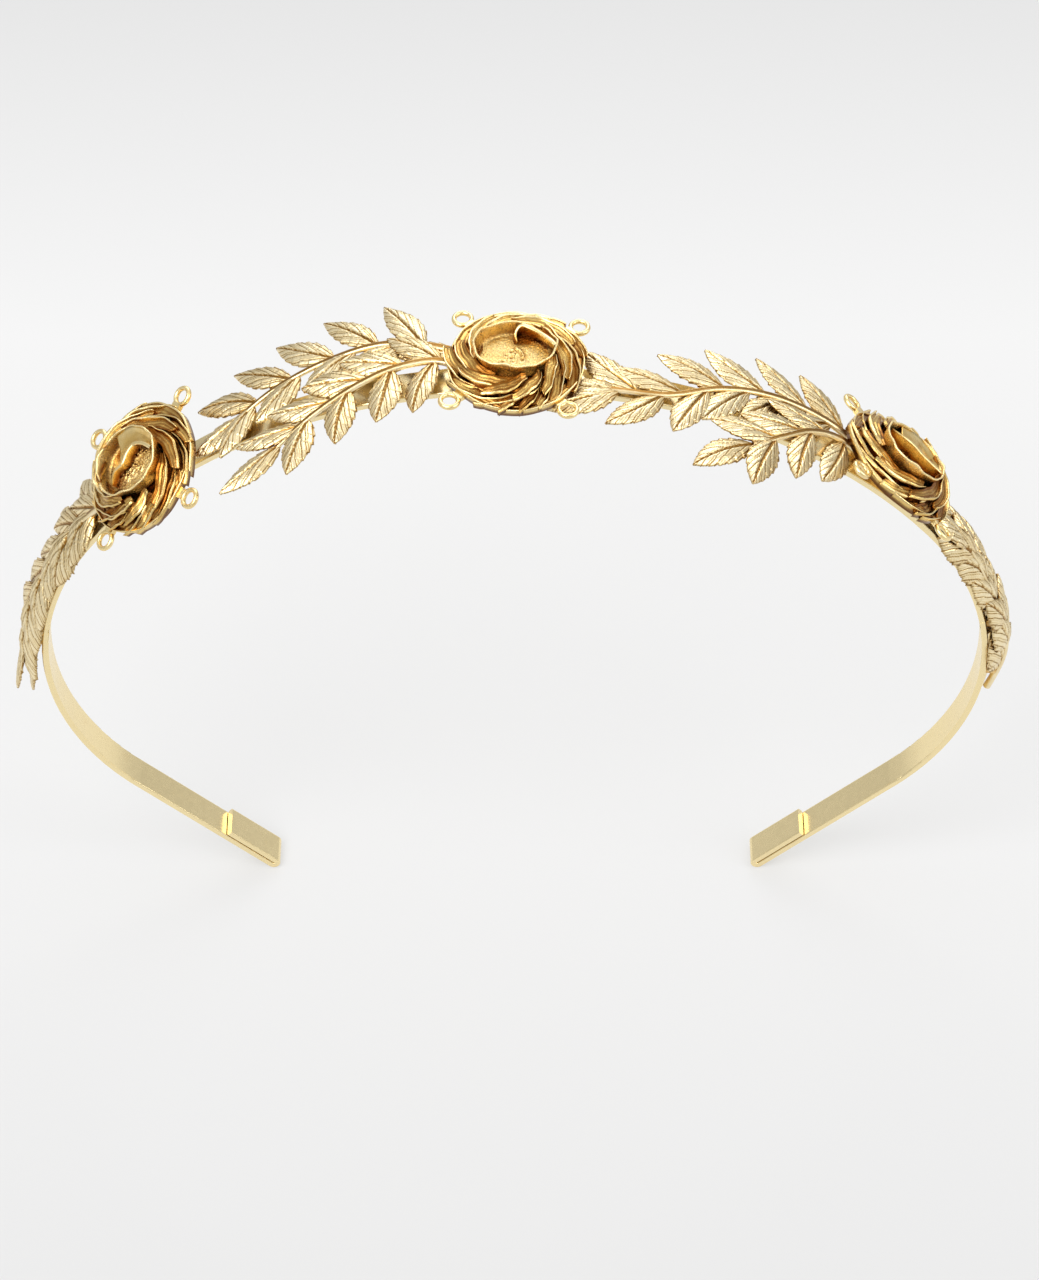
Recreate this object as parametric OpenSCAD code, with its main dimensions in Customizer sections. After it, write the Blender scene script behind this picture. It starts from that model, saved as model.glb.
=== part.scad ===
// Bridal tiara: a hemmed metal headband that carries three roses and eight leaf sprays.
// +X runs across the head, -Y is the front, +Z is up.
// The origin is on the surface that the band's two ends stand on, midway between them.
// A place on the band is given as [s, v, h]: s along the band from the top of the crown,
// v across it towards the back, and h out from its outer face.

/* [Headband] */
// Width of the strip
band_w = 5; // [4:0.5:6]
// Thickness of the strip
band_t = 1; // [0.8:0.1:1.2]
// Inner radius over the crown
crown_r = 77; // [72:1:82]
// Turn of the crown arc, each side of the middle
crown_angle = 51; // [49:1:53]
// Inner radius of the shoulders
shoulder_r = 47; // [44:1:50]
// Turn of each shoulder arc
shoulder_angle = 26; // [24:1:28]
// Inner radius beside the ears
side_r = 40; // [38:1:42]
// Turn of each side arc
side_angle = 58; // [56:1:60]
// Straight length at each end
tail_len = 28; // [24:1:32]
// Length of the strip folded back inside at each end
hem_len = 10; // [8:0.5:12]

/* [Roses] */
// Radius of a rose over its outer petals
rose_r = 10.4; // [9.5:0.1:11]
// Radius of the cup's rim
cup_r = 6; // [5.5:0.1:6.5]
// Height of the cup
cup_h = 3.6; // [3.4:0.1:4.2]
// Radius of the plate behind the petals
plate_r = 7.5; // [7:0.1:8]
// Thickness of the plate
plate_t = 0.8; // [0.6:0.1:1]
// Petals in the outer whorl
outer_petals = 9; // [7:1:10]
// Petals in the inner whorl
inner_petals = 7; // [5:1:8]

/* [Loops] */
// Bore of a loop
loop_bore = 1.8; // [1.6:0.1:2]
// Wall of a loop
loop_wall = 0.7; // [0.6:0.05:0.8]
// Distance of a loop from the middle of its rose
loop_reach = 11.7; // [11.5:0.1:12]

/* [Leaves] */
// Width of a leaf
leaf_w = 4.1; // [3.5:0.1:4.5]
// Thickness of a leaf at its edge
leaf_t = 0.4; // [0.3:0.05:0.5]
// Height of the midrib above the leaf's edge
rib_h = 0.3; // [0.2:0.05:0.4]
// Radius of a stem at its root
stem_r = 0.6; // [0.5:0.05:0.7]

/* [Hidden] */
$fn = 96;
DEG = 180 / PI;
edge_r = 0.25;                     // rounding of the strip's long edges
hem_gap = 0.12;                    // gap between the strip and its folded end
seam = 0.01;                       // every second stretch of strip is this much thinner all round
seam_turn = 0.4;                   // and runs this far, in degrees or mm, into its neighbours
loop_turn = -6;                    // the loops sit a little off the diagonals
arm_w = 1.6;                       // width of the arms that carry the loops
post_r = 2.3;                      // radius of the solder post under a rose
tack_r = 0.8;                      // radius of the solder spots under a stem
petal_t = 0.5;                     // thickness of a petal
petal_steps = 5;                   // stations along a petal
leaf_steps = 6;                    // stations along a leaf
stem_steps = 10;                   // stations along a stem
leaf_bow = 0.3;                    // how far the middle of a leaf bows up

// Each rose: [s, v, tilt towards the front, height of its plate above the band]
centre_rose = [0, 0.2, 0, 2];
left_rose = [-54.6, -1, 16, 3.2];
right_rose = [57.5, 0.2, -8, 2.6];
ROSES = [centre_rose, left_rose, right_rose];

// Each spray: [stem points [s, v, h] from root to end, back leaves, front leaves,
// [length, lift] of the leaf on the end, solder spots as fractions of the stem].
// A row of leaves: [count, first and last place on the stem, first and last splay,
// length, lift of the tips, roll about the leaf's own midrib]
left_upper = [[[-5.5, 2.4, 1.2], [-10, 5.1, 1.5], [-18, 7.2, 1.7], [-26, 6.3, 1.7],
    [-34, 3.9, 1.6], [-40, 0.8, 1.4]],
    [5, 0.27, 0.89, 40, 47, 10.5, 0.2, 0], [5, 0.1, 0.91, 28, 30, 9.4, 0.2, 0], [8.8, 0.2],
    [0.02, 0.99]];
left_lower = [[[-6, -0.6, 1.2], [-10, 1.8, 2.1], [-16, 1, 2.7], [-22, -1.6, 2.8],
    [-28, -5.2, 2.6], [-33, -8.8, 2.2]],
    [5, 0.2, 0.86, 30, 34, 9.5, 0.2, 0], [4, 0.23, 0.81, 74, 40, 10.2, 0.2, 0], [10.6, 0.8],
    [0.02, 0.45]];
right_upper = [[[53, 2, 1.2], [46, 3.6, 1.5], [37, 3.6, 1.7], [29, 1.8, 1.6], [21, -2, 1.5],
    [13, -2.4, 1.2]],
    [6, 0.12, 0.9, 34, 42, 10.4, 0.2, 0], [6, 0.18, 0.97, 44, 26, 11.2, 0.2, 0], [7, 0.2],
    [0.02, 0.66]];
right_lower = [[[53, 0, 1.6], [47, -0.2, 2.6], [42, -1.8, 2.9], [37, -5.4, 2.7],
    [33, -8.4, 2.3]],
    [3, 0.35, 0.78, 27, 32, 9.7, 0.2, 0], [3, 0.2, 0.79, 63, 34, 11.3, 0.2, 0], [11.4, -0.4],
    [0.02, 0.24]];
left_side_front = [[[-63, -0.6, 1.8], [-79, 0, 2], [-95, -1.2, 2.8]],
    [6, 0.1, 0.86, 34, 26, 9, 0.6, -20], [6, 0.14, 0.9, 27, 21, 9, -1.4, -30], [10, 2.2],
    [0.02, 0.5]];
left_side_back = [[[-59, 2, 1], [-79, 4.2, 1.1], [-99, 1.8, 1.8]],
    [6, 0.1, 0.86, 62, 28, 9.2, -0.4, 0], [6, 0.16, 0.9, 28, 22, 9, 0, -15], [9.5, 2],
    [0.02, 0.98]];
right_side_front = [[[105.8, -0.6, 1.3], [97, -0.2, 2.8], [87, -0.4, 1.6], [75, -0.6, 2]],
    [6, 0.14, 0.88, 30, 24, 8.4, 0.4, -10], [6, 0.14, 0.92, 20, 14, 8.4, -0.8, -16], [8.4, 0],
    [0.14, 0.5]];
right_side_back = [[[108, 1.7, 1], [92, 4.2, 1.1], [75, 2, 1.2]],
    [6, 0.1, 0.86, 46, 28, 9.2, -0.4, 0], [6, 0.16, 0.9, 28, 22, 9, 0, -15], [9.5, 0.2],
    [0.08, 0.98]];
SPRAYS = [left_upper, left_lower, right_upper, right_lower,
    left_side_front, left_side_back, right_side_front, right_side_back];

// Lengths, centres and turns of the arcs, all measured on the strip's inner face
crown_len = crown_r * crown_angle / DEG;
shoulder_end = crown_len + shoulder_r * shoulder_angle / DEG;
side_end = shoulder_end + side_r * side_angle / DEG;
shoulder_turn = crown_angle + shoulder_angle;
full_turn = shoulder_turn + side_angle;

function out(a) = [sin(a), cos(a)];
function along(a) = [cos(a), -sin(a)];

crown_c = [0, -crown_r];
shoulder_c = crown_c + (crown_r - shoulder_r) * out(crown_angle);
side_c = shoulder_c + (shoulder_r - side_r) * out(shoulder_turn);
tail_start = side_c + side_r * out(full_turn);
fold_c = tail_start + tail_len * along(full_turn) - hem_gap / 2 * out(full_turn);
lift = hem_gap / 2 + band_t - fold_c[1];

// Turn of the band at s, in degrees from the top of the crown
function turn(s) =
    s < crown_len ? s / crown_r * DEG :
    s < shoulder_end ? crown_angle + (s - crown_len) / shoulder_r * DEG :
    s < side_end ? shoulder_turn + (s - shoulder_end) / side_r * DEG : full_turn;

// Point of the strip's inner face at s, as [x, z] below the crown
function inner(s) =
    s < crown_len ? crown_c + crown_r * out(turn(s)) :
    s < shoulder_end ? shoulder_c + shoulder_r * out(turn(s)) :
    s < side_end ? side_c + side_r * out(turn(s)) :
    tail_start + (s - side_end) * along(full_turn);

// Place [s, v, h] on the band as a point in the tiara's frame
function place(q) =
    let (a = turn(abs(q[0])), p = inner(abs(q[0])) + (band_t + q[2]) * out(a))
    [(q[0] < 0 ? -1 : 1) * p[0], q[1], p[1] + lift];

// Point at fraction t of a smooth curve through a list of points
function span(a, b, c, d, t) =
    (2 * b + (c - a) * t + (2 * a - 5 * b + 4 * c - d) * t * t
    + (3 * b - a - 3 * c + d) * t * t * t) / 2;
function curve(pts, t) =
    let (n = len(pts) - 1, i = min(floor(t * n), n - 1))
    span(i > 0 ? pts[i - 1] : 2 * pts[0] - pts[1], pts[i], pts[i + 1],
        i < n - 1 ? pts[i + 2] : 2 * pts[n] - pts[n - 1], t * n - i);

// Unit direction of a stem across the band's face, as [s, v]
function heading(pts, t) =
    let (e = 0.01, a = curve(pts, max(t - e, 0)), b = curve(pts, min(t + e, 1)),
        d = [b[0] - a[0], b[1] - a[1]])
    d / norm(d);

// Closed solid through rings of points that all have the same count
module loft(rings) {
    n = len(rings[0]);
    last = (len(rings) - 1) * n;
    faces = concat(
        [[for (k = [0 : n - 1]) k]],
        [for (i = [0 : len(rings) - 2], k = [0 : n - 1])
            let (a = i * n + k, b = i * n + (k + 1) % n) each [[a, a + n, b], [b, a + n, b + n]]],
        [[for (k = [0 : n - 1]) last + n - 1 - k]]);
    polyhedron([for (r = rings) each r], faces);
}

// Section of the strip: thickness along x, width along y, rounded edges, drawn in by a margin
module strip_section(margin = 0) {
    t = band_t - 2 * margin;
    w = band_w - 2 * margin;
    translate([margin, 0]) {
        translate([edge_r, -w / 2]) square([t - 2 * edge_r, w]);
        translate([0, edge_r - w / 2]) square([t, w - 2 * edge_r]);
        for (x = [edge_r, t - edge_r], y = [-1, 1])
            translate([x, y * (w / 2 - edge_r)]) circle(edge_r);
    }
}

// Stretch of strip bent round a centre [x, z] from turn a to turn b
module strip_arc(c, r, a, b, margin = 0) {
    translate([c[0], 0, c[1] + lift]) rotate([90, 0, 0])
        rotate_extrude(angle = b - a, start = 90 - b) translate([r, 0]) strip_section(margin);
}

// Straight strip along X from x0 to x1, its inner face on z = 0
module strip_straight(x0, x1) {
    translate([x1, 0, 0]) rotate([0, -90, 0]) linear_extrude(x1 - x0) strip_section(seam);
}

// Shoulder, side, straight end and folded hem of the right half
module band_side() {
    strip_arc(shoulder_c, shoulder_r, crown_angle - seam_turn, shoulder_turn + seam_turn, seam);
    strip_arc(side_c, side_r, shoulder_turn, full_turn);
    translate([tail_start[0], 0, tail_start[1] + lift]) rotate([0, full_turn, 0]) {
        strip_straight(-seam_turn, tail_len);
        translate([tail_len, 0, -hem_gap / 2]) rotate([90, 0, 0])
            rotate_extrude(angle = 180, start = -90) translate([hem_gap / 2, 0])
            strip_section(seam);
        translate([tail_len - hem_len, 0, -hem_gap - band_t]) strip_straight(0, hem_len);
    }
}

module headband() {
    color("goldenrod") {
        strip_arc(crown_c, crown_r, -crown_angle, crown_angle);
        band_side();
        mirror([1, 0, 0]) band_side();
    }
}

// Moves a child from the rose's own frame, z along its axis, to its seat on the band
module on_band(rose, tilt = true) {
    translate(place([rose[0], rose[1], 0]))
        rotate([0, (rose[0] < 0 ? -1 : 1) * turn(abs(rose[0])), 0])
        rotate([tilt ? rose[2] : 0, 0, 0]) children();
}

// Solder under the rose, cut off flush with the band's outer face
module rose_post(rose) {
    reach = 2 * post_r;
    difference() {
        on_band([rose[0], 0, rose[2], rose[3]]) translate([0, 0, -reach])
            cylinder(r = post_r, h = rose[3] + reach);
        on_band([rose[0], 0, 0, 0]) translate([-reach, -reach, -3 * reach])
            cube([2 * reach, 2 * reach, 3 * reach]);
    }
}

module rose_posts() {
    color("darkgoldenrod") for (rose = ROSES) rose_post(rose);
}

module back_plate(rose) {
    color("peru") on_band(rose) translate([0, 0, rose[3]]) {
        cylinder(r = plate_r, h = plate_t);
        for (k = [0 : 3]) rotate([0, 0, 45 + 90 * k + loop_turn]) translate([0, -arm_w / 2, 0])
            cube([loop_reach - loop_bore / 2 - loop_wall / 2, arm_w, plate_t]);
    }
}

module loops(rose) {
    outer = loop_bore / 2 + loop_wall;
    color("gold") on_band(rose) translate([0, 0, rose[3]])
        for (k = [0 : 3]) rotate([0, 0, 45 + 90 * k + loop_turn]) translate([loop_reach, 0, 0])
            difference() {
                cylinder(r = outer, h = plate_t);
                translate([0, 0, -1]) cylinder(r = loop_bore / 2, h = plate_t + 2);
            }
}

// Bowl whose floor is above the plate
module cup(rose) {
    wall = 0.7;
    floor_r = 4.4;
    floor_z = 1.6;
    color("gold") on_band(rose) translate([0, 0, rose[3] + plate_t])
        rotate_extrude() polygon([[0, 0], [floor_r, 0], [cup_r, cup_h], [cup_r - wall, cup_h],
            [floor_r - 0.1, floor_z + 0.2], [floor_r - 0.8, floor_z], [0, floor_z]]);
}

// Petal that curls over inside the cup
module curled_petal(rose) {
    color("orange") on_band(rose)
        translate([1.5, 0.8, rose[3] + plate_t + 1.6]) rotate([0, 0, -20])
        rotate_extrude(angle = 190) translate([2.2, 0]) square([0.5, 1.8]);
}

// One crescent petal: it starts wide near the rim r_out and winds in towards r_in
module petal(r_in, r_out, lean) {
    sweep = 85;
    full = (r_out - r_in) / cos(lean);
    for (i = [0 : petal_steps - 1]) hull() for (u = [i / petal_steps, (i + 1) / petal_steps])
        rotate([0, 0, sweep * u]) translate([r_in + (1 - u) * 0.3 * full, 0, 0.6 * u])
            rotate([0, -lean, 0])
            cube([full * (0.25 + 0.75 * sin(180 * min(u + 0.1, 1))), 0.1, petal_t]);
}

// Ring of petals that wind anticlockwise towards the cup, joined at their feet
module whorl(rose, count, r_in, r_out, height, lean, first) {
    on_band(rose) translate([0, 0, rose[3] + plate_t]) {
        difference() {
            cylinder(r = r_in + 1, h = height + 0.4, $fn = 36);
            translate([0, 0, -1]) cylinder(r = cup_r - 0.5, h = height + 3, $fn = 36);
        }
        for (k = [0 : count - 1]) rotate([0, 0, 360 / count * k + first])
            translate([0, 0, height]) petal(r_in, r_out, lean);
    }
}

module outer_whorl(rose) {
    color("goldenrod") whorl(rose, outer_petals, plate_r - 1, rose_r, 0, 12, 0);
}

module inner_whorl(rose) {
    color("gold") whorl(rose, inner_petals, cup_r - 0.4, rose_r - 1.6, 0.9, 35, 20);
}

// One leaf from a root on the band's face: direction d as [s, v], length, lift of its tip
// and roll about its midrib
module leaf(root, d, length, rise, roll) {
    side = [-d[1], d[0]];
    loft([for (i = [0 : leaf_steps])
        let (u = i / leaf_steps, w = leaf_w / 2 * max(0.08, pow(sin(180 * pow(u, 0.9)), 0.8)),
            p = root + length * u * [d[0], d[1], 0] + [0, 0, rise * u * u + leaf_bow * sin(180 * u)],
            rib = rib_h * (1 - 0.6 * u))
            [for (q = [[w, 0], [0, rib], [-w, 0], [-w, -leaf_t], [0, rib - leaf_t], [w, -leaf_t]])
                place(p + [side[0] * q[0], side[1] * q[0], q[1] + q[0] * tan(roll)])]]);
}

module stem(pts) {
    for (i = [0 : stem_steps - 1]) hull() for (t = [i / stem_steps, (i + 1) / stem_steps])
        translate(place(curve(pts, t))) sphere(stem_r * (1 - 0.4 * t), $fn = 6);
}

// Direction d turned by an angle across the band's face
function turned(d, a) = [d[0] * cos(a) - d[1] * sin(a), d[0] * sin(a) + d[1] * cos(a)];

// Leaves along one side of a stem: side is 1 for the back of the band and -1 for its front
module leaf_row(pts, row, side) {
    for (i = [0 : row[0] - 1]) {
        u = i / (row[0] - 1);
        t = row[1] + (row[2] - row[1]) * u;
        d = heading(pts, t);
        splay = (row[3] + (row[4] - row[3]) * u) * side * sign(d[0]);
        leaf(curve(pts, t), turned(d, splay), row[5], row[6], row[7]);
    }
}

// Whole spray: a stem, a row of leaves on each side and one leaf on the end
module spray(data) {
    pts = data[0];
    color("khaki") {
        stem(pts);
        leaf_row(pts, data[1], 1);
        leaf_row(pts, data[2], -1);
        leaf(curve(pts, 0.98), heading(pts, 1), data[3][0], data[3][1], 0);
    }
}

// Solder spots that hold each stem off the band
module spray_tacks() {
    color("darkgoldenrod") for (data = SPRAYS, t = data[4]) {
        q = curve(data[0], t);
        v = min(max(q[1], tack_r - band_w / 2), band_w / 2 - tack_r);
        on_band([q[0], v, 0, 0]) cylinder(r = tack_r, h = q[2] - 0.3);
    }
}

headband();
rose_posts();
spray_tacks();
back_plate(centre_rose);  // centre_rose_plate
loops(centre_rose);  // centre_rose_loops
outer_whorl(centre_rose);  // centre_rose_outer_petals
inner_whorl(centre_rose);  // centre_rose_inner_petals
cup(centre_rose);  // centre_rose_cup
curled_petal(centre_rose);  // centre_rose_curled_petal
back_plate(left_rose);  // left_rose_plate
loops(left_rose);  // left_rose_loops
outer_whorl(left_rose);  // left_rose_outer_petals
inner_whorl(left_rose);  // left_rose_inner_petals
cup(left_rose);  // left_rose_cup
curled_petal(left_rose);  // left_rose_curled_petal
back_plate(right_rose);  // right_rose_plate
loops(right_rose);  // right_rose_loops
outer_whorl(right_rose);  // right_rose_outer_petals
inner_whorl(right_rose);  // right_rose_inner_petals
cup(right_rose);  // right_rose_cup
curled_petal(right_rose);  // right_rose_curled_petal
spray(left_upper);  // left_upper_spray
spray(left_lower);  // left_lower_spray
spray(right_upper);  // right_upper_spray
spray(right_lower);  // right_lower_spray
spray(left_side_front);  // left_side_front_spray
spray(left_side_back);  // left_side_back_spray
spray(right_side_front);  // right_side_front_spray
spray(right_side_back);  // right_side_back_spray
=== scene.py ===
import math

import bpy
import numpy as np
from mathutils import Matrix, Vector


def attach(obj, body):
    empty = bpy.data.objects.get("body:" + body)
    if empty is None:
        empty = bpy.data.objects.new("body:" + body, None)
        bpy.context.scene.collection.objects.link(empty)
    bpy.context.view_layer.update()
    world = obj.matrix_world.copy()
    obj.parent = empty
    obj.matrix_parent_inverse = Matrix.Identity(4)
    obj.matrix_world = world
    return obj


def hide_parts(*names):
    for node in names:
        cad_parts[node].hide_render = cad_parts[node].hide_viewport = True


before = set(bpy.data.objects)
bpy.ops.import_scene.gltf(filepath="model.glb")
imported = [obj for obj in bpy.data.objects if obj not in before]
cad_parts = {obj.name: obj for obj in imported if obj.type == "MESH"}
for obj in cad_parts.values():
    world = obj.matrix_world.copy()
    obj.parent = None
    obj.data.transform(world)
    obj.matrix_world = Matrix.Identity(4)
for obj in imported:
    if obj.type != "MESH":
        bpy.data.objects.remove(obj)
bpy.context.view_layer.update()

MM = 0.001
rng = np.random.default_rng(7)

# ---------------------------------------------------------------- the band's own frame
# Lengths in mm and the same arcs as in the CAD. A place on the band is [s, v, h]: s along it from
# the top of the crown, v across it towards the back, and h out from its outer face.
BAND_T = 1.0
CROWN_R, CROWN_A = 77.0, math.radians(51)
SHOULDER_R, SHOULDER_A = 47.0, math.radians(26)
SIDE_R, SIDE_A = 40.0, math.radians(58)
TAIL_LEN, HEM_GAP = 28.0, 0.12
CROWN_LEN = CROWN_R * CROWN_A
SHOULDER_END = CROWN_LEN + SHOULDER_R * SHOULDER_A
SIDE_END = SHOULDER_END + SIDE_R * SIDE_A
FULL_A = CROWN_A + SHOULDER_A + SIDE_A


def outward(a):
    """Unit vector out of the band, in its plane, where it has turned by a."""
    return np.stack([np.sin(a), np.cos(a)], -1)


def onward(a):
    """Unit vector along the band, away from the crown, where it has turned by a."""
    return np.stack([np.cos(a), -np.sin(a)], -1)


CROWN_C = np.array([0.0, -CROWN_R])
SHOULDER_C = CROWN_C + (CROWN_R - SHOULDER_R) * outward(CROWN_A)
SIDE_C = SHOULDER_C + (SHOULDER_R - SIDE_R) * outward(CROWN_A + SHOULDER_A)
TAIL_START = SIDE_C + SIDE_R * outward(FULL_A)
LIFT = HEM_GAP / 2 + BAND_T - (TAIL_START + TAIL_LEN * onward(FULL_A)
                               - HEM_GAP / 2 * outward(FULL_A))[1]


def turn(s):
    """Turn of the band at distance s from the top of the crown, in radians."""
    s = np.abs(s)
    return np.where(s < CROWN_LEN, s / CROWN_R, np.where(
        s < SHOULDER_END, CROWN_A + (s - CROWN_LEN) / SHOULDER_R, np.where(
            s < SIDE_END, CROWN_A + SHOULDER_A + (s - SHOULDER_END) / SIDE_R, FULL_A)))


def place(q):
    """Places [s, v, h] on the band as points [x, y, z], all in mm."""
    q = np.asarray(q, float)
    s = np.abs(q[..., 0])
    a = turn(s)
    face = np.where((s < CROWN_LEN)[..., None], CROWN_C + CROWN_R * outward(a), np.where(
        (s < SHOULDER_END)[..., None], SHOULDER_C + SHOULDER_R * outward(a), np.where(
            (s < SIDE_END)[..., None], SIDE_C + SIDE_R * outward(a),
            TAIL_START + (s - SIDE_END)[..., None] * onward(a))))
    p = face + (BAND_T + q[..., 2])[..., None] * outward(a)
    side = np.where(q[..., 0] < 0, -1.0, 1.0)
    return np.stack([side * p[..., 0], q[..., 1], p[..., 1] + LIFT], -1)


def curve(pts, t):
    """Points at fractions t of the smooth curve through a list of points."""
    pts = np.asarray(pts, float)
    n = len(pts) - 1
    ext = np.vstack([2 * pts[0] - pts[1], pts, 2 * pts[n] - pts[n - 1]])
    t = np.atleast_1d(t) * n
    i = np.minimum(np.floor(t).astype(int), n - 1)
    f = (t - i)[:, None]
    a, b, c, d = ext[i], ext[i + 1], ext[i + 2], ext[i + 3]
    return (2 * b + (c - a) * f + (2 * a - 5 * b + 4 * c - d) * f ** 2
            + (3 * b - a - 3 * c + d) * f ** 3) / 2


def heading(pts, t):
    """Direction of the curve at fraction t, along and across the band."""
    step = 0.01
    d = (curve(pts, min(t + step, 1)) - curve(pts, max(t - step, 0)))[0, :2]
    return d / np.linalg.norm(d)


# ---------------------------------------------------------------- meshes
class Shape:
    """Gathers closed surfaces into one mesh, with a value from 0 (bright) to 1 (in a recess):
    painted shade, painted highlights below 0, and some random tone.
    """

    def __init__(self):
        self.points, self.faces, self.tones, self.count = [], [], [], 0

    def grid(self, p, tone, wrap_u=False, wrap_v=False, flip=False):
        """A sheet of quads through p[i, j], which may close on itself either way."""
        n, m = p.shape[:2]
        i = np.arange(n if wrap_u else n - 1)[:, None]
        j = np.arange(m if wrap_v else m - 1)[None, :]
        corners = [(a % n) * m + (b % m) + self.count
                   for a, b in ((i, j), (i + 1, j), (i + 1, j + 1), (i, j + 1))]
        q = np.stack(corners, -1).reshape(-1, 4)
        self.faces.extend((q[:, ::-1] if flip else q).tolist())
        self.points.append(p.reshape(-1, 3))
        self.tones.append(np.broadcast_to(tone, (n, m)).reshape(-1))
        self.count += n * m

    def blade(self, top, bottom, tone, under):
        """A thin solid between two sheets: rows close round it, and its two ends are capped."""
        p = np.concatenate([top, bottom[:, ::-1]], 1)
        # the bottom sheet takes the painted shade given as under; the top sheet its own painted
        # shade and highlights
        t = np.concatenate([np.broadcast_to(tone, top.shape[:2]),
                            np.broadcast_to(under, bottom.shape[:2])], 1)
        n, m = p.shape[:2]
        start = self.count
        self.grid(p, t, wrap_v=True)
        half = m // 2
        for row, flip in ((0, False), (n - 1, True)):
            base = start + row * m
            for k in range(half - 1):
                face = [base + k, base + k + 1, base + m - 2 - k, base + m - 1 - k]
                self.faces.append(face[::-1] if flip else face)

    def object(self, name, material, seat_matrix=None):
        """The mesh as an object in metres, seated by a matrix in mm where one is given."""
        p = np.concatenate(self.points)
        if seat_matrix is not None:
            m = np.array(seat_matrix)
            p = p @ m[:3, :3].T + m[:3, 3]
        mesh = bpy.data.meshes.new(name)
        mesh.from_pydata((p * MM).tolist(), [], self.faces)
        # the painted shade and highlights, with the random tone, as a point attribute
        tone = mesh.attributes.new("tone", "FLOAT", "POINT")
        tone.data.foreach_set("value", np.clip(np.concatenate(self.tones), 0, 1).astype(np.float32))
        mesh.shade_smooth()
        mesh.materials.append(material)
        obj = bpy.data.objects.new(name, mesh)
        bpy.context.scene.collection.objects.link(obj)
        return obj


def stand_in(obj, node):
    """The piece takes over from its CAD node."""
    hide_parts(node)
    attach(obj, "root")


# ---------------------------------------------------------------- materials
def set_stops(ramp, stops):
    """Grey stops (position, value) on a colour ramp, from its first element to its last."""
    elements = ramp.color_ramp.elements
    elements[0].position, elements[1].position = stops[0][0], stops[-1][0]
    for position, _ in stops[1:-1]:
        elements.new(position)
    for element, (_, value) in zip(elements, stops):
        element.color = (value, value, value, 1)


PATCHES, PATCH_DEPTH = 420.0, 0.6
SMEARS, SMEAR_DEPTH = 900.0, 0.18
# reach of the ambient occlusion that paints shade into recesses
HOLLOW_REACH = 1.6 * MM
GRAIN_DEPTH = 0.12 * MM


def gold(name, bright, deep, deep_shade, rough, grain, grain_size, recess_shade=0.75):
    """Gold plate: bright on high places and painted highlights, deep in shallow ones and dark brown
    in recesses, both painted shade.
    A point's depth is its painted shade and tone from the mesh, soft random patches, and a painted
    ambient-occlusion shade, a factor times how enclosed it is, added up.
    The strength of the fine bumps is grain, and their scale grain_size."""
    mat = bpy.data.materials.new(name)
    mat.use_nodes = True
    nt = mat.node_tree
    nodes, links = nt.nodes, nt.links
    shader = nodes["Principled BSDF"]
    shader.inputs["Metallic"].default_value = 1.0
    coords = nodes.new("ShaderNodeTexCoord")

    def noise(scale, detail, roughness=0.6):
        node = nodes.new("ShaderNodeTexNoise")
        node.inputs["Scale"].default_value = scale
        node.inputs["Detail"].default_value = detail
        node.inputs["Roughness"].default_value = roughness
        links.new(coords.outputs["Object"], node.inputs["Vector"])
        return node.outputs["Fac"]

    def combine(operation, a, b):
        """One step of arithmetic on sockets or plain numbers."""
        node = nodes.new("ShaderNodeMath")
        node.operation = operation
        for socket, value in zip(node.inputs, (a, b)):
            if isinstance(value, float):
                socket.default_value = value
            else:
                links.new(value, socket)
        return node.outputs[0]

    tone = nodes.new("ShaderNodeAttribute")
    tone.attribute_name = "tone"
    # painted shade: ambient occlusion darkens the colour wherever a point is enclosed
    hollow = nodes.new("ShaderNodeAmbientOcclusion")
    hollow.inputs["Distance"].default_value = HOLLOW_REACH
    hollow.samples = 8
    shade = combine("MULTIPLY", combine("SUBTRACT", 1.0, hollow.outputs["AO"]), recess_shade)
    patches = combine("MULTIPLY", combine("SUBTRACT", noise(PATCHES, 4.0), 0.5), PATCH_DEPTH)
    depth = combine("ADD", combine("ADD", tone.outputs["Fac"], shade), patches)
    ramp = nodes.new("ShaderNodeValToRGB")
    ramp.color_ramp.elements[0].position = 0.05
    ramp.color_ramp.elements[0].color = (*bright, 1)
    ramp.color_ramp.elements[1].position = 0.95
    ramp.color_ramp.elements[1].color = (*deep_shade, 1)
    middle = ramp.color_ramp.elements.new(0.45)
    middle.color = (*deep, 1)
    links.new(depth, ramp.inputs["Fac"])
    links.new(ramp.outputs["Color"], shader.inputs["Base Color"])
    smears = combine("MULTIPLY", noise(SMEARS, 3.0), SMEAR_DEPTH)
    links.new(combine("ADD", smears, rough - SMEAR_DEPTH / 2), shader.inputs["Roughness"])
    bump = nodes.new("ShaderNodeBump")
    bump.inputs["Strength"].default_value = grain
    bump.inputs["Distance"].default_value = GRAIN_DEPTH
    links.new(noise(grain_size, 6.0, 0.7), bump.inputs["Height"])
    links.new(bump.outputs["Normal"], shader.inputs["Normal"])
    return mat


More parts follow.
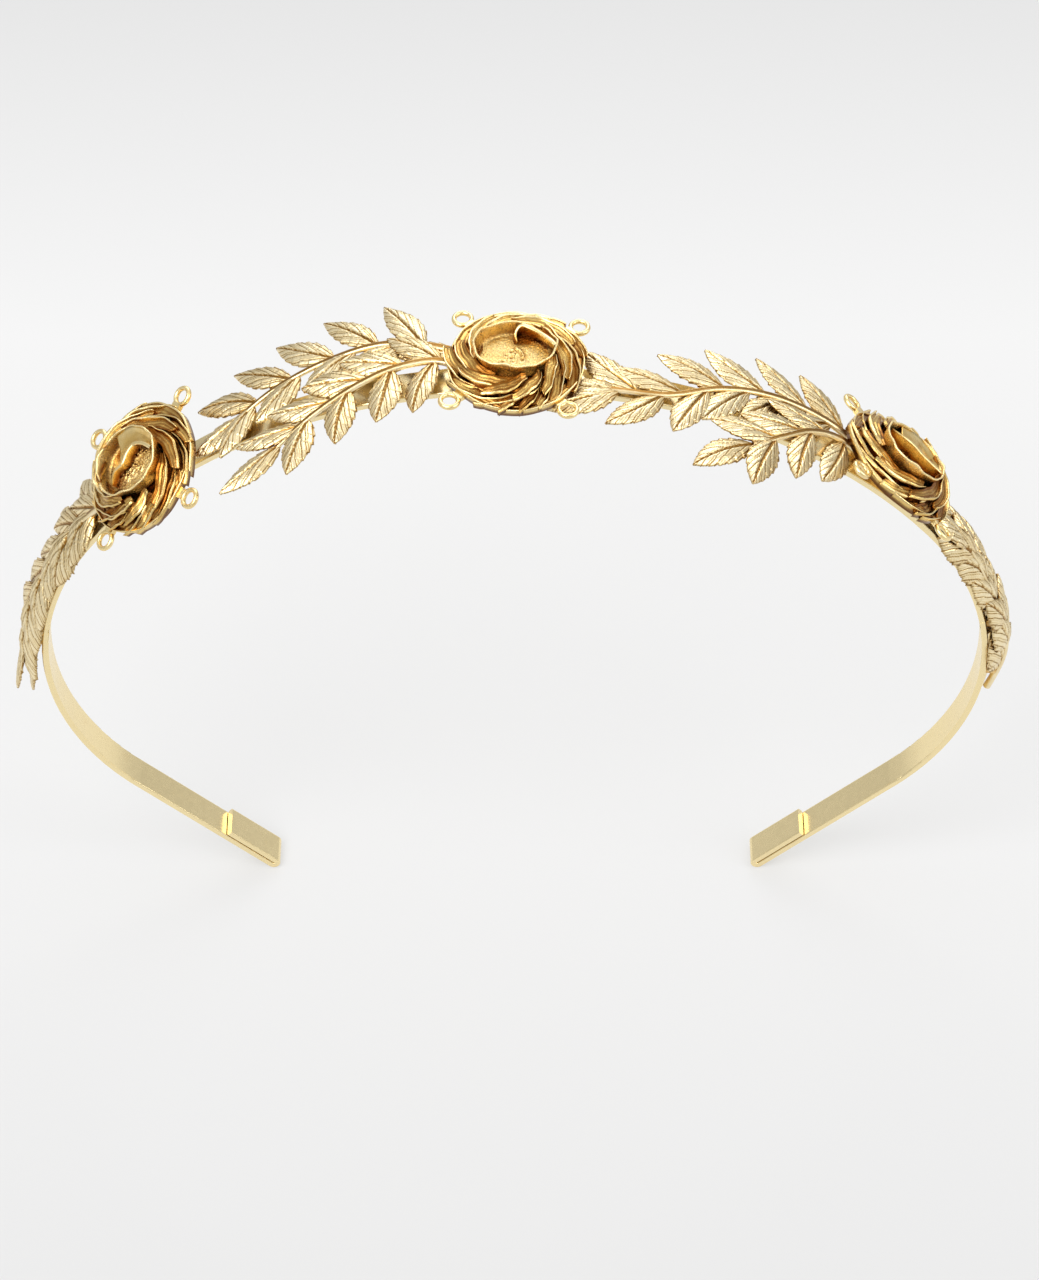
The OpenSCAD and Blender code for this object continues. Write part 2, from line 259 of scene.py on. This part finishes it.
# the third colour of each gold is the painted shade in its deepest recesses
LEAF_GOLD = gold("leaf_gold", (0.97, 0.84, 0.56), (0.82, 0.64, 0.33), (0.30, 0.15, 0.03),
                 0.32, 0.40, 2600.0, 0.62)
ROSE_GOLD = gold("rose_gold", (0.97, 0.79, 0.42), (0.76, 0.51, 0.16), (0.25, 0.09, 0.012),
                 0.25, 0.50, 1500.0)
CUP_GOLD = gold("cup_gold", (0.96, 0.77, 0.39), (0.76, 0.52, 0.18), (0.24, 0.085, 0.012),
                0.27, 0.80, 2400.0)
BAND_GOLD = gold("band_gold", (0.95, 0.79, 0.45), (0.84, 0.63, 0.31), (0.42, 0.25, 0.09),
                 0.26, 0.08, 700.0, 0.35)
SOLDER_GOLD = gold("solder_gold", (0.86, 0.62, 0.28), (0.62, 0.36, 0.10), (0.20, 0.08, 0.02),
                   0.36, 0.6, 1200.0)

# ---------------------------------------------------------------- sprays
LEAF_W, LEAF_T = 4.3, 0.34
STEM_R = 0.6
VEIN_STEP, TOOTH_STEP = 0.92, 1.5
# painted shade on the undersides of the leaves
UNDERSIDE_SHADE = 0.35

# Stem points [s, v, h], back leaves, front leaves, [length, lift] of the end leaf; a row of
# leaves is [count, first and last place on the stem, first and last splay, length, lift, roll]
SPRAYS = {
    "left_upper": (
        [[-5.5, 2.4, 1.2], [-10, 5.1, 1.5], [-18, 7.2, 1.7],
         [-26, 6.3, 1.7], [-34, 3.9, 1.6], [-40, 0.8, 1.4]],
        [5, 0.27, 0.89, 40, 47, 10.5, 0.2, 0], [5, 0.1, 0.91, 28, 30, 9.4, 0.2, 0], [8.8, 0.2]),
    "left_lower": (
        [[-6, -0.6, 1.2], [-10, 1.8, 2.1], [-16, 1, 2.7],
         [-22, -1.6, 2.8], [-28, -5.2, 2.6], [-33, -8.8, 2.2]],
        [5, 0.2, 0.86, 30, 34, 9.5, 0.2, 0], [4, 0.23, 0.81, 74, 40, 10.2, 0.2, 0], [10.6, 0.8]),
    "right_upper": (
        [[53, 2, 1.2], [46, 3.6, 1.5], [37, 3.6, 1.7],
         [29, 1.8, 1.6], [21, -2, 1.5], [13, -2.4, 1.2]],
        [6, 0.12, 0.9, 34, 42, 10.4, 0.2, 0], [6, 0.18, 0.97, 44, 26, 11.2, 0.2, 0], [7, 0.2]),
    "right_lower": (
        [[53, 0, 1.6], [47, -0.2, 2.6], [42, -1.8, 2.9],
         [37, -5.4, 2.7], [33, -8.4, 2.3]],
        [3, 0.35, 0.78, 27, 32, 9.7, 0.2, 0], [3, 0.2, 0.79, 63, 34, 11.3, 0.2, 0], [11.4, -0.4]),
    "left_side_front": (
        [[-63, -0.6, 1.8], [-79, 0, 2], [-95, -1.2, 2.8]],
        [6, 0.1, 0.86, 34, 26, 9, 0.6, -20], [6, 0.14, 0.9, 27, 21, 9, -1.4, -30], [10, 2.2]),
    "left_side_back": (
        [[-59, 2, 1], [-79, 4.2, 1.1], [-99, 1.8, 1.8]],
        [6, 0.1, 0.86, 62, 28, 9.2, -0.4, 0], [6, 0.16, 0.9, 28, 22, 9, 0, -15], [9.5, 2]),
    "right_side_front": (
        [[105.8, -0.6, 1.3], [97, -0.2, 2.8], [87, -0.4, 1.6], [75, -0.6, 2]],
        [6, 0.14, 0.88, 30, 24, 8.4, 0.4, -10], [6, 0.14, 0.92, 18, 13, 8.4, -1.5, -32], [8.4, 0]),
    "right_side_back": (
        [[108, 1.7, 1], [92, 4.2, 1.1], [75, 2, 1.2]],
        [6, 0.1, 0.86, 46, 28, 9.2, -0.4, 0], [6, 0.16, 0.9, 28, 22, 9, 0, -15], [9.5, 0.2]),
}


def turned(d, degrees):
    """Direction d turned anticlockwise."""
    a = math.radians(degrees)
    return np.array([d[0] * math.cos(a) - d[1] * math.sin(a),
                     d[0] * math.sin(a) + d[1] * math.cos(a)])


def leaf(shape, root, d, length, rise, roll):
    """A cast leaf: a grooved midrib, raised halves, side veins and a toothed edge.
    u runs from its root to its tip and w from one edge to the other."""
    rows, columns = 84, 33
    u = np.linspace(0, 1, rows)[:, None]
    w = np.linspace(-1, 1, columns)[None, :]
    w = np.sign(w) * np.abs(w) ** 0.92
    edge = np.abs(w)
    size = LEAF_W * rng.uniform(0.94, 1.06)
    half = size / 2 * np.maximum(0.07, np.sin(np.pi * u ** 0.90) ** 0.78)
    teeth = (u * length / TOOTH_STEP + rng.uniform(0, 1)) % 1.0
    half = half * (1 + 0.13 * (teeth - 0.5) * np.minimum(1, 6 * (1 - u)))
    sway = rng.uniform(-0.5, 0.5)
    x = length * u
    y = half * w + sway * np.sin(np.pi * u)
    off = np.abs(half * w)
    wobble = 0.10 * np.sin(2.3 * x + 4 * w + length)
    vein_at = (x - 2.9 * off + wobble) / VEIN_STEP + rng.uniform(0, 1)
    strong = 0.55 + 0.45 * np.sin(2.4 * np.round(vein_at) + 40 * sway) * np.sign(w)
    vein = np.exp(-((vein_at - np.round(vein_at)) / 0.17) ** 2) * np.minimum(1, edge * 6) * strong
    fine = np.sin(vein_at * 2 * np.pi * 2 + 1.3) * 0.5 + 0.5
    rib = np.exp(-(half * w / (0.17 * (1.3 - 0.7 * u))) ** 2)
    lip = np.exp(-((off - 0.36) / 0.14) ** 2)
    taper = np.sin(np.pi * np.clip(u, 0.03, 0.97)) ** 0.5
    body = 0.34 * np.sin(np.pi * edge ** 0.75) ** 0.8 * taper
    z = (0.3 * np.sin(np.pi * u) + rise * u ** 2 + body - 0.46 * edge * taper
         - 0.26 * rib * taper + 0.06 * lip * taper - 0.24 * vein * taper + 0.05 * fine * taper
         + math.tan(math.radians(roll)) * half * w)
    thick = LEAF_T - 0.12 * edge + 0 * u
    side = np.array([-d[1], d[0]])

    def surface(height):
        q = np.stack([root[0] + d[0] * x + side[0] * y, root[1] + d[1] * x + side[1] * y,
                      root[2] + height + 0 * x], -1)
        return place(q)

    # painted shade in the midrib, the veins and the fine lines, near the root and along the very
    # edge, and a painted highlight on the lips beside the midrib; the last term is a random tone
    tone = 1.25 * rib * (1 - 0.4 * u) + 1.45 * vein + 0.38 * (1 - fine) + 0.45 * (1 - u) ** 5
    tone = tone + 0.40 * edge ** 12 - 0.20 * lip + rng.uniform(-0.24, -0.06)
    shape.blade(surface(z), surface(z - thick), tone, UNDERSIDE_SHADE)


def stem(shape, pts):
    """The spray's stem: a tapering wire, with a groove along its outer side that is darkened with
    painted shade.
    """
    rows, columns = 60, 28
    t = np.linspace(0, 1, rows)
    q = curve(pts, t)
    d = np.gradient(q[:, :2], axis=0)
    d /= np.linalg.norm(d, axis=1)[:, None]
    a = np.linspace(0, 2 * np.pi, columns, endpoint=False)[None, :]
    groove = np.exp(-((a - 1.45) / 0.6) ** 2)
    r = STEM_R * (1 - 0.4 * t)[:, None] * (1 - 0.35 * groove)
    sideways = np.cos(a) * r * 1.1
    facing = np.sign(d[:1, 0])[0]
    p = np.stack([q[:, :1] - d[:, 1:] * sideways * facing, q[:, 1:2] + d[:, :1] * sideways * facing,
                  q[:, 2:] + np.sin(a) * r], -1)
    # painted shade along the groove
    shape.grid(place(p), 0.1 + 1.8 * groove + 0 * t[:, None], wrap_v=True, flip=facing < 0)
    for end in (p[0], p[-1]):
        tip = place(end.mean(0))
        ring = np.stack([place(end), np.broadcast_to(tip, end.shape)])
        shape.grid(ring, 0.4, wrap_v=True)


def sprays():
    """Each spray is a stem, a row of leaves on each side of it and a leaf at its end."""
    for name, (pts, back, front, end) in SPRAYS.items():
        shape = Shape()
        stem(shape, pts)
        for row, side in ((back, 1), (front, -1)):
            count, first, last, splay_first, splay_last, length, lift, roll = row
            for i in range(count):
                u = i / (count - 1)
                t = first + (last - first) * u
                d = heading(pts, t)
                splay = (splay_first + (splay_last - splay_first) * u) * side * np.sign(d[0])
                d = turned(d, splay + rng.uniform(-2, 2))
                leaf(shape, curve(pts, t)[0], d, length, lift, roll + rng.uniform(-11, 11))
        end_length, end_lift = end
        leaf(shape, curve(pts, 0.98)[0], heading(pts, 1), end_length, end_lift, 0)
        stand_in(shape.object(name + "_leaves", LEAF_GOLD), name + "_spray")


# ---------------------------------------------------------------- roses
# [s, v, tilt towards the front in degrees, height of the plate above the band]
ROSES = {"centre": (0, 0.2, 0, 2), "left": (-54.6, -1, 16, 3.2),
         "right": (57.5, 0.2, -8, 2.6)}
PLATE_T = 0.8
LOOP_REACH, LOOP_OUTER, LOOP_BORE, LOOP_TURN = 11.7, 1.6, 0.9, -6


def seat(rose):
    """Matrix, in mm, from a rose's own frame to the frame of the whole."""
    s, v, tilt, up = rose
    a = float(turn(s)) * (-1 if s < 0 else 1)
    return (Matrix.Translation(Vector(place([s, v, 0]))) @ Matrix.Rotation(a, 4, "Y")
            @ Matrix.Rotation(math.radians(tilt), 4, "X") @ Matrix.Translation((0, 0, up)))


def petal(shape, start, sweep, r0, r1, width, z0, z1, dip):
    """A crescent petal that winds inwards from r0 to r1, its outer rim thick and bright, the
    brightness partly a painted highlight.
    u runs along it and w from its rim inwards; dip is how far its face is hollowed."""
    rows, columns = 56, 19
    u = np.linspace(0, 1, rows)[:, None]
    w = np.linspace(0, 1, columns)[None, :] ** 1.3
    a = np.radians(start + sweep * u)
    phase = rng.uniform(0, 2 * np.pi)
    sway = (0.20 * np.sin(4.2 * u + phase) + 0.10 * np.sin(11 * u + 2 * phase)
            + 0.05 * np.sin(25 * u + 3 * phase))
    rim = r0 + (r1 - r0) * (0.25 * u + 0.75 * u ** 1.25) + sway
    wide = width * np.sin(np.pi * (0.12 + 0.80 * u)) ** 0.6
    r = rim - wide * w
    bead = np.exp(-((w - 0.08) / 0.09) ** 2)
    streak = np.sin(w * 24 + 3.5 * u + phase + 0.8 * np.sin(9 * u)) * 0.5 + 0.5
    hollow = np.sin(np.pi * np.clip(w, 0, 1) ** 0.7)
    z = (z0 + (z1 - z0) * u ** 1.1 + 0.14 * np.sin(6 * u + phase) - 0.4 * (1 - u) ** 4
         + 0.30 * bead - dip * hollow + 0.25 * w ** 2 + 0.09 * streak * (1 - bead))
    thick = 0.36 + 0.9 * np.exp(-w / 0.10) + 0 * u
    undercut = 0.20 * np.exp(-w / 0.12)

    def surface(h, inset):
        return np.stack([(r - inset) * np.cos(a), (r - inset) * np.sin(a), h], -1)

    # painted shade in the hollow of its face, between its streaks and towards its inner edge, where
    # it goes under the next petal; a painted highlight on its rim; the last term is a random tone
    tone = 0.20 + 0.34 * hollow + 0.85 * np.clip((w - 0.6) / 0.4, 0, 1) ** 1.5 - 0.45 * bead
    tone = tone + 0.22 * (1 - streak) * (1 - bead) + rng.uniform(-0.24, 0.12)
    # painted shade under the petal, lighter near its rim
    under = 0.9 - 0.5 * np.exp(-w / 0.04)
    shape.blade(surface(z, 0), surface(z - thick, undercut), tone + 0 * u, under + 0 * u)


def skirt(shape, turn_by):
    """Three long flat petals that lie under the outer whorl, all the way round."""
    count, lap = 3, 4
    for k in range(count):
        start = 360 / count * k + turn_by + 15
        petal(shape, start, 360 / count + lap, 9.8, 9.6, 2.4, 0.9, 1.0, 0.15)


def whorl(shape, petals, turn_by, r0, r1, width, z0, z1, high_side):
    """A ring of petals [start, sweep]; their inner ends stand highest on one side of the rose."""
    for start, sweep in petals:
        start = start + turn_by + rng.uniform(-3, 3)
        end = math.radians(start + sweep - high_side)
        short = min(1, sweep / 60)
        top = z0 + (z1 * (0.74 + 0.26 * math.cos(end)) - z0) * (0.7 + 0.3 * short)
        petal(shape, start, sweep + rng.uniform(-5, 5),
              r0 + rng.uniform(-0.3, 0.1), r1 + rng.uniform(-0.2, 0.3),
              width * rng.uniform(0.9, 1.12) * (0.55 + 0.45 * short), z0 + rng.uniform(-0.1, 0.15),
              top + rng.uniform(-0.15, 0.15), PETAL_DIP)


def cup(rx, ry, ridges, shade_at):
    """The rose's cup: a thin wavy rim, a smooth wall and a grainy floor with small rings.
    rho is the fraction of its radius, from the foot up to the rim and down to the floor."""
    shape = Shape()
    a = np.linspace(0, 2 * np.pi, 220, endpoint=False)[:, None]
    floor = np.linspace(0.8, 0.02, 46)
    rho = np.concatenate([[0.60, 0.72, 0.80, 0.88, 0.95, 0.99, 1.0, 0.985, 0.96, 0.945, 0.93,
                           0.91, 0.89, 0.865, 0.84], floor])[None, :]
    z = np.concatenate([[0.8, 0.85, 1.3, 2.2, 3.3, 4.1, 4.32, 4.42, 4.42, 4.3, 4.0, 3.6, 3.2,
                         2.8, 2.55], np.full(floor.size, CUP_FLOOR)])[None, :]
    high = np.clip((z - 2.6) / 1.8, 0, 1)
    wave = 0.16 * np.sin(3 * a + 0.6) + 0.10 * np.sin(7 * a + 2) + 0.05 * np.sin(13 * a)
    flare = 1 + 0.02 * np.sin(5 * a + 1) * high + 0.012 * np.sin(11 * a) * high
    x = rx * rho * flare * np.cos(a)
    y = ry * rho * flare * np.sin(a)
    on_floor = (rho < 0.81).astype(float) * (z > 2)
    grain = (np.sin(9.1 * x + 4 * np.sin(5.3 * y)) * np.sin(8.3 * y + 3 * np.sin(6.1 * x))
             + 0.6 * np.sin(15 * x + 2 * y) * np.sin(17 * y - 3 * x))
    z = z + wave * high + 0.055 * grain * on_floor
    # painted shade low on the outer wall; on the floor the tone follows its grain
    tone = 0.22 + 0.28 * (1 - high) * (1 - on_floor) + 0.12 * grain * on_floor
    # painted highlight along the top of the rim
    tone = np.where((rho > 0.955) & (z > 4.1), 0.0, tone) + 0 * a
    for cx, cy, size in FLOOR_RINGS:
        away = np.hypot(x - cx, y - cy)
        ring = np.exp(-((away - size) / 0.13) ** 2)
        pit = np.exp(-(away / (size * 0.6)) ** 2)
        z = z + (0.16 * ring - 0.08 * pit) * on_floor
        # painted shade in each pit, painted highlight on its ring
        tone = tone + (0.45 * pit - 0.15 * ring) * on_floor
    # painted shade in the hollow beside the curled petal
    deep_shade = np.exp(-(((x - shade_at[0]) / 1.3) ** 2 + ((y - shade_at[1]) / 1.0) ** 2))
    tone = tone + 1.1 * deep_shade * (rho < 0.9)
    for path in ridges:
        line = curve(path, np.linspace(0, 1, 30))
        away = np.min(np.hypot(x[..., None] - line[:, 0], y[..., None] - line[:, 1]), -1)
        ridge = np.exp(-(away / 0.16) ** 2)
        z = z + 0.3 * ridge * on_floor
        beside = np.exp(-((away - 0.35) / 0.14) ** 2)
        # painted shade beside each ridge, painted highlight on it
        tone = tone + (0.35 * beside - 0.2 * ridge) * on_floor
    shape.grid(np.stack([x, y, z], -1), tone, wrap_u=True, flip=True)
    return shape


def curl(path, rx, ry, sector):
    """A wall of petal inside the cup, with a thick rounded top edge, along a path [x, y, top],
    and a sagging roof from it to the rim over a sector of the cup in degrees."""
    shape = Shape()
    u = np.linspace(0, 1, 60)
    q = curve(path, u)
    d = np.gradient(q[:, :2], axis=0)
    d /= np.linalg.norm(d, axis=1)[:, None]
    across = np.stack([-d[:, 1], d[:, 0]], -1)
    a = np.linspace(-np.pi / 2, np.pi / 2, 9)
    sideways = np.concatenate([[-0.5, -0.5, -0.5], 0.75 * np.sin(a), [0.5, 0.5, 0.5]])
    thick = (CURL_T * np.clip(0.3 + 2 * u, 0, 1))[:, None, None]
    drop = np.concatenate([[1.0, 0.6, 0.25], 0.0 * a, [0.25, 0.6, 1.0]])
    crown = np.concatenate([[0, 0, 0], 0.18 * np.cos(a), [0, 0, 0]])
    top = q[:, 2:3]
    z = top - (top - CURL_FOOT) * drop[None, :] + crown[None, :]
    lean = 0.35 * drop[None, :]
    xy = q[:, None, :2] + across[:, None, :] * (sideways[None, :, None] * thick
                                                + lean[..., None] * 0.6)
    p = np.concatenate([xy, z[..., None]], -1)
    # painted shade at the start of the wall and down its sides, where it drops to the cup's floor
    start = 0.6 * np.exp(-u / 0.12)[:, None]
    tone = np.broadcast_to(0.15 + 0.8 * drop[None, :] + start, z.shape)
    shape.grid(p, tone, wrap_v=True)
    for row, flip in ((p[:1], False), (p[-1:], True)):
        middle = np.broadcast_to(row.mean(1, keepdims=True), row.shape)
        shape.grid(np.concatenate([row, middle]), 0.4, wrap_v=True, flip=not flip)
    t = np.linspace(0, 1, 40)
    inner = curve(path, 0.28 + 0.72 * t)
    a = np.radians(sector[0] + (sector[1] - sector[0]) * t)
    outer = np.stack([0.95 * rx * np.cos(a), 0.95 * ry * np.sin(a), 4.2 + 0 * a], -1)
    w = np.linspace(0, 1, 12)[None, :, None]
    roof = inner[:, None] * (1 - w) + outer[:, None] * w
    sag = 0.45 * np.sin(np.pi * w[..., 0]) + 0.05 * np.sin(9 * t[:, None] + 14 * w[..., 0])
    top = roof - sag[..., None] * np.array([0, 0, 1.0])
    under = top - np.array([0, 0, 0.35])
    turns = np.cross(top[1, 1] - top[0, 1], top[0, 2] - top[0, 1])[2]
    if turns > 0:
        top, under = top[:, ::-1], under[:, ::-1]
    # painted shade where the roof sags, and on its underside
    shape.blade(top, under, 0.15 + 0.5 * sag, 0.9)
    return shape


def wire_loops():
    """Four wire rings round the rose, one at the end of each arm of its plate."""
    shape = Shape()
    a = np.linspace(0, 2 * np.pi, 48, endpoint=False)[:, None]
    b = np.linspace(0, 2 * np.pi, 14, endpoint=False)[None, :]
    wire = (LOOP_OUTER - LOOP_BORE) / 2
    middle = (LOOP_OUTER + LOOP_BORE) / 2
    for k in range(4):
        turn_by = math.radians(45 + 90 * k + LOOP_TURN)
        r = middle + wire * np.cos(b)
        x = LOOP_REACH + r * np.cos(a)
        y = r * np.sin(a)
        z = PLATE_T / 2 + (PLATE_T / 2) * np.sin(b) + 0 * a
        c, s = math.cos(turn_by), math.sin(turn_by)
        shape.grid(np.stack([x * c - y * s, x * s + y * c, z], -1), 0.12 + 0 * a, wrap_u=True,
                   wrap_v=True)
    return shape


# Petals of each whorl as [start, sweep] in degrees, anticlockwise; short ones fan out at one side
OUTER_PETALS = ((5, 72), (44, 74), (84, 72), (124, 74), (162, 78), (200, 76), (234, 60), (257, 26),
                (272, 30), (287, 36), (303, 42), (325, 64))
INNER_PETALS = ((20, 78), (66, 76), (110, 78), (155, 78), (198, 76), (240, 50), (268, 40), (296, 46),
                (332, 70))
# Outer and inner radius of a whorl, width of a petal, heights of its start and its end
OUTER_WHORL = (10.2, 6.9, 2.3, 1.3, 3.0)
INNER_WHORL = (8.8, 5.7, 2.0, 2.3, 4.5)
PETAL_DIP = 0.30
WHORL_TURN = {"centre": 0, "left": -50, "right": 150}
# Top edge of the curled petal [x, y, z] in each rose's own frame
CURLS = {
    "centre": [[0.3, 1.9, 2.8], [0.1, 2.9, 3.6], [0.9, 3.7, 4.4], [2.3, 3.1, 4.4],
               [3.7, 2.0, 4.4], [5.0, 0.7, 4.4], [5.7, -0.2, 4.3]],
    "left": [[-3.6, -2.2, 3.6], [-2.4, -0.8, 4.2], [-0.6, -0.4, 4.4], [0.6, 0.9, 4.4],
             [2.0, 1.6, 4.3], [3.6, 0.9, 4.3], [5.0, -0.6, 4.3]],
    "right": [[-4.4, 1.8, 4.0], [-2.6, 1.0, 4.4], [-0.8, 0.6, 4.5], [1.2, -0.4, 4.4],
              [3.0, -0.8, 4.3], [4.9, -1.2, 4.2]],
}
CURL_T, CURL_FOOT = 0.42, 2.45
CUP_FLOOR = 2.42
# Rings on a cup's floor [x, y, radius], the ridges across it, and the cup's half widths
FLOOR_RINGS = ((-0.5, 0.3, 0.42), (-0.5, -0.9, 0.38), (-0.2, -1.7, 0.3),
               (-1.7, -1.6, 0.42), (1.0, -1.3, 0.42), (-1.2, -0.4, 0.3))
FLOOR_RIDGES = {
    "centre": [[[0.2, 1.0], [0.9, 0.3], [1.2, -0.7]]],
    "left": [[[-2.0, 1.8], [0.2, 2.4], [2.4, 2.8]]],
    "right": [[[-2.6, -1.6], [0.0, -2.2], [2.6, -2.4]]],
}
CUP_SIZE = {"centre": (5.95, 4.7), "left": (5.7, 5.2), "right": (5.7, 5.0)}
# Sector of the cup that the curled petal roofs, middle of the painted shade in the hollow beside it,
# and the direction in which a rose's petals stand highest, in degrees
SECTORS = {"centre": (72, -4), "left": (100, 0), "right": (110, -6)}
SHADED_HOLLOWS = {"centre": (1.3, 2.6), "left": (-1.6, 2.6), "right": (1.5, 1.6)}
HIGH_SIDE = {"centre": 50, "left": 150, "right": 40}


def roses():
    """Each rose is two whorls of petals, a cup, a petal curled over in it, and four loops."""
    for name, rose in ROSES.items():
        outer, inner = Shape(), Shape()
        skirt(outer, WHORL_TURN[name])
        whorl(outer, OUTER_PETALS, WHORL_TURN[name], *OUTER_WHORL, HIGH_SIDE[name])
        whorl(inner, INNER_PETALS, WHORL_TURN[name], *INNER_WHORL, HIGH_SIDE[name])
        pieces = (
            ("outer_petals", outer, ROSE_GOLD, "petals"),
            ("inner_petals", inner, ROSE_GOLD, "petals"),
            ("cup", cup(*CUP_SIZE[name], FLOOR_RIDGES[name], SHADED_HOLLOWS[name]), CUP_GOLD, "rose_cups"),
            ("curled_petal", curl(CURLS[name], *CUP_SIZE[name], SECTORS[name]), ROSE_GOLD, "petals"),
            ("loops", wire_loops(), ROSE_GOLD, "loops"))
        for part, shape, material, slot in pieces:
            node = f"{name}_rose_{part}"
            stand_in(shape.object(node + "_piece", material, seat(rose)), node)


# ---------------------------------------------------------------- CAD nodes that stay
def keep(node, material):
    """The CAD node stays as it is, in a better material."""
    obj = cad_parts[node]
    obj.data.materials.clear()
    obj.data.materials.append(material)


# ---------------------------------------------------------------- stage
def stage():
    """A wide paper floor that glows a little, most of all under and just behind the tiara."""
    mesh = bpy.data.meshes.new("floor")
    size = 6.0
    mesh.from_pydata([(-size, -size, 0), (size, -size, 0), (size, size, 0), (-size, size, 0)], [],
                     [(0, 1, 2, 3)])
    floor = bpy.data.objects.new("floor", mesh)
    bpy.context.scene.collection.objects.link(floor)
    mat = bpy.data.materials.new("paper")
    mat.use_nodes = True
    nodes, links = mat.node_tree.nodes, mat.node_tree.links
    shader = nodes["Principled BSDF"]
    shader.inputs["Base Color"].default_value = (0.25, 0.25, 0.25, 1)
    shader.inputs["Roughness"].default_value = 1.0
    shader.inputs["Specular IOR Level"].default_value = 0.0
    shader.inputs["Emission Strength"].default_value = 1.0
    coords = nodes.new("ShaderNodeTexCoord")
    split = nodes.new("ShaderNodeSeparateXYZ")
    reach = nodes.new("ShaderNodeMapRange")
    ramp = nodes.new("ShaderNodeValToRGB")
    links.new(coords.outputs["Object"], split.inputs[0])
    links.new(split.outputs["Y"], reach.inputs["Value"])
    reach.inputs["From Min"].default_value = -0.10
    reach.inputs["From Max"].default_value = 0.30
    set_stops(ramp, ((0.0, 0.45), (0.30, 0.53), (0.55, 0.55), (1.0, 0.32)))
    links.new(reach.outputs[0], ramp.inputs["Fac"])
    links.new(ramp.outputs["Color"], shader.inputs["Emission Color"])
    mesh.materials.append(mat)


def lights():
    """A pale studio: brighter overhead than at the sides, with three large soft lamps."""
    world = bpy.data.worlds.new("studio")
    bpy.context.scene.world = world
    world.use_nodes = True
    nodes, links = world.node_tree.nodes, world.node_tree.links
    coords = nodes.new("ShaderNodeTexCoord")
    split = nodes.new("ShaderNodeSeparateXYZ")
    ramp = nodes.new("ShaderNodeValToRGB")
    links.new(coords.outputs["Generated"], split.inputs[0])
    links.new(split.outputs["Z"], ramp.inputs["Fac"])
    set_stops(ramp, ((0.0, 0.68), (0.18, 0.54), (0.42, 0.76), (0.75, 0.96)))
    links.new(ramp.outputs["Color"], nodes["Background"].inputs["Color"])
    nodes["Background"].inputs["Strength"].default_value = 0.9
    for name, at, size, power in (("key", (-0.5, -0.5, 1.0), 0.8, 9.0),
                                  ("fill", (0.8, -0.3, 0.6), 0.6, 3.0),
                                  ("back", (0.1, 0.9, 0.7), 0.8, 4.0)):
        lamp = bpy.data.lights.new(name, "AREA")
        lamp.shape = "DISK"
        lamp.size = size
        lamp.energy = power
        obj = bpy.data.objects.new(name, lamp)
        obj.location = at
        aim = Vector((0, 0, 0.07)) - Vector(at)
        obj.rotation_euler = aim.to_track_quat("-Z", "Y").to_euler()
        bpy.context.scene.collection.objects.link(obj)


def camera():
    """Looks down on the front through a long lens."""
    cam = bpy.data.cameras.new("camera")
    cam.lens = 112.1
    cam.sensor_width = 36
    cam.clip_start = 0.01
    obj = bpy.data.objects.new("camera", cam)
    look = Vector((0.65, 0, 51.6)) * MM
    elevation, distance = math.radians(48), 0.6
    obj.location = look + distance * Vector((0, -math.cos(elevation), math.sin(elevation)))
    obj.rotation_euler = (look - obj.location).to_track_quat("-Z", "Y").to_euler()
    bpy.context.scene.collection.objects.link(obj)
    bpy.context.scene.camera = obj
    bpy.context.scene.view_settings.view_transform = "Standard"


camera()
lights()
stage()
sprays()
roses()
keep("headband", BAND_GOLD)
keep("rose_posts", SOLDER_GOLD)
keep("spray_tacks", SOLDER_GOLD)
for side in ROSES:
    keep(f"{side}_rose_plate", ROSE_GOLD)
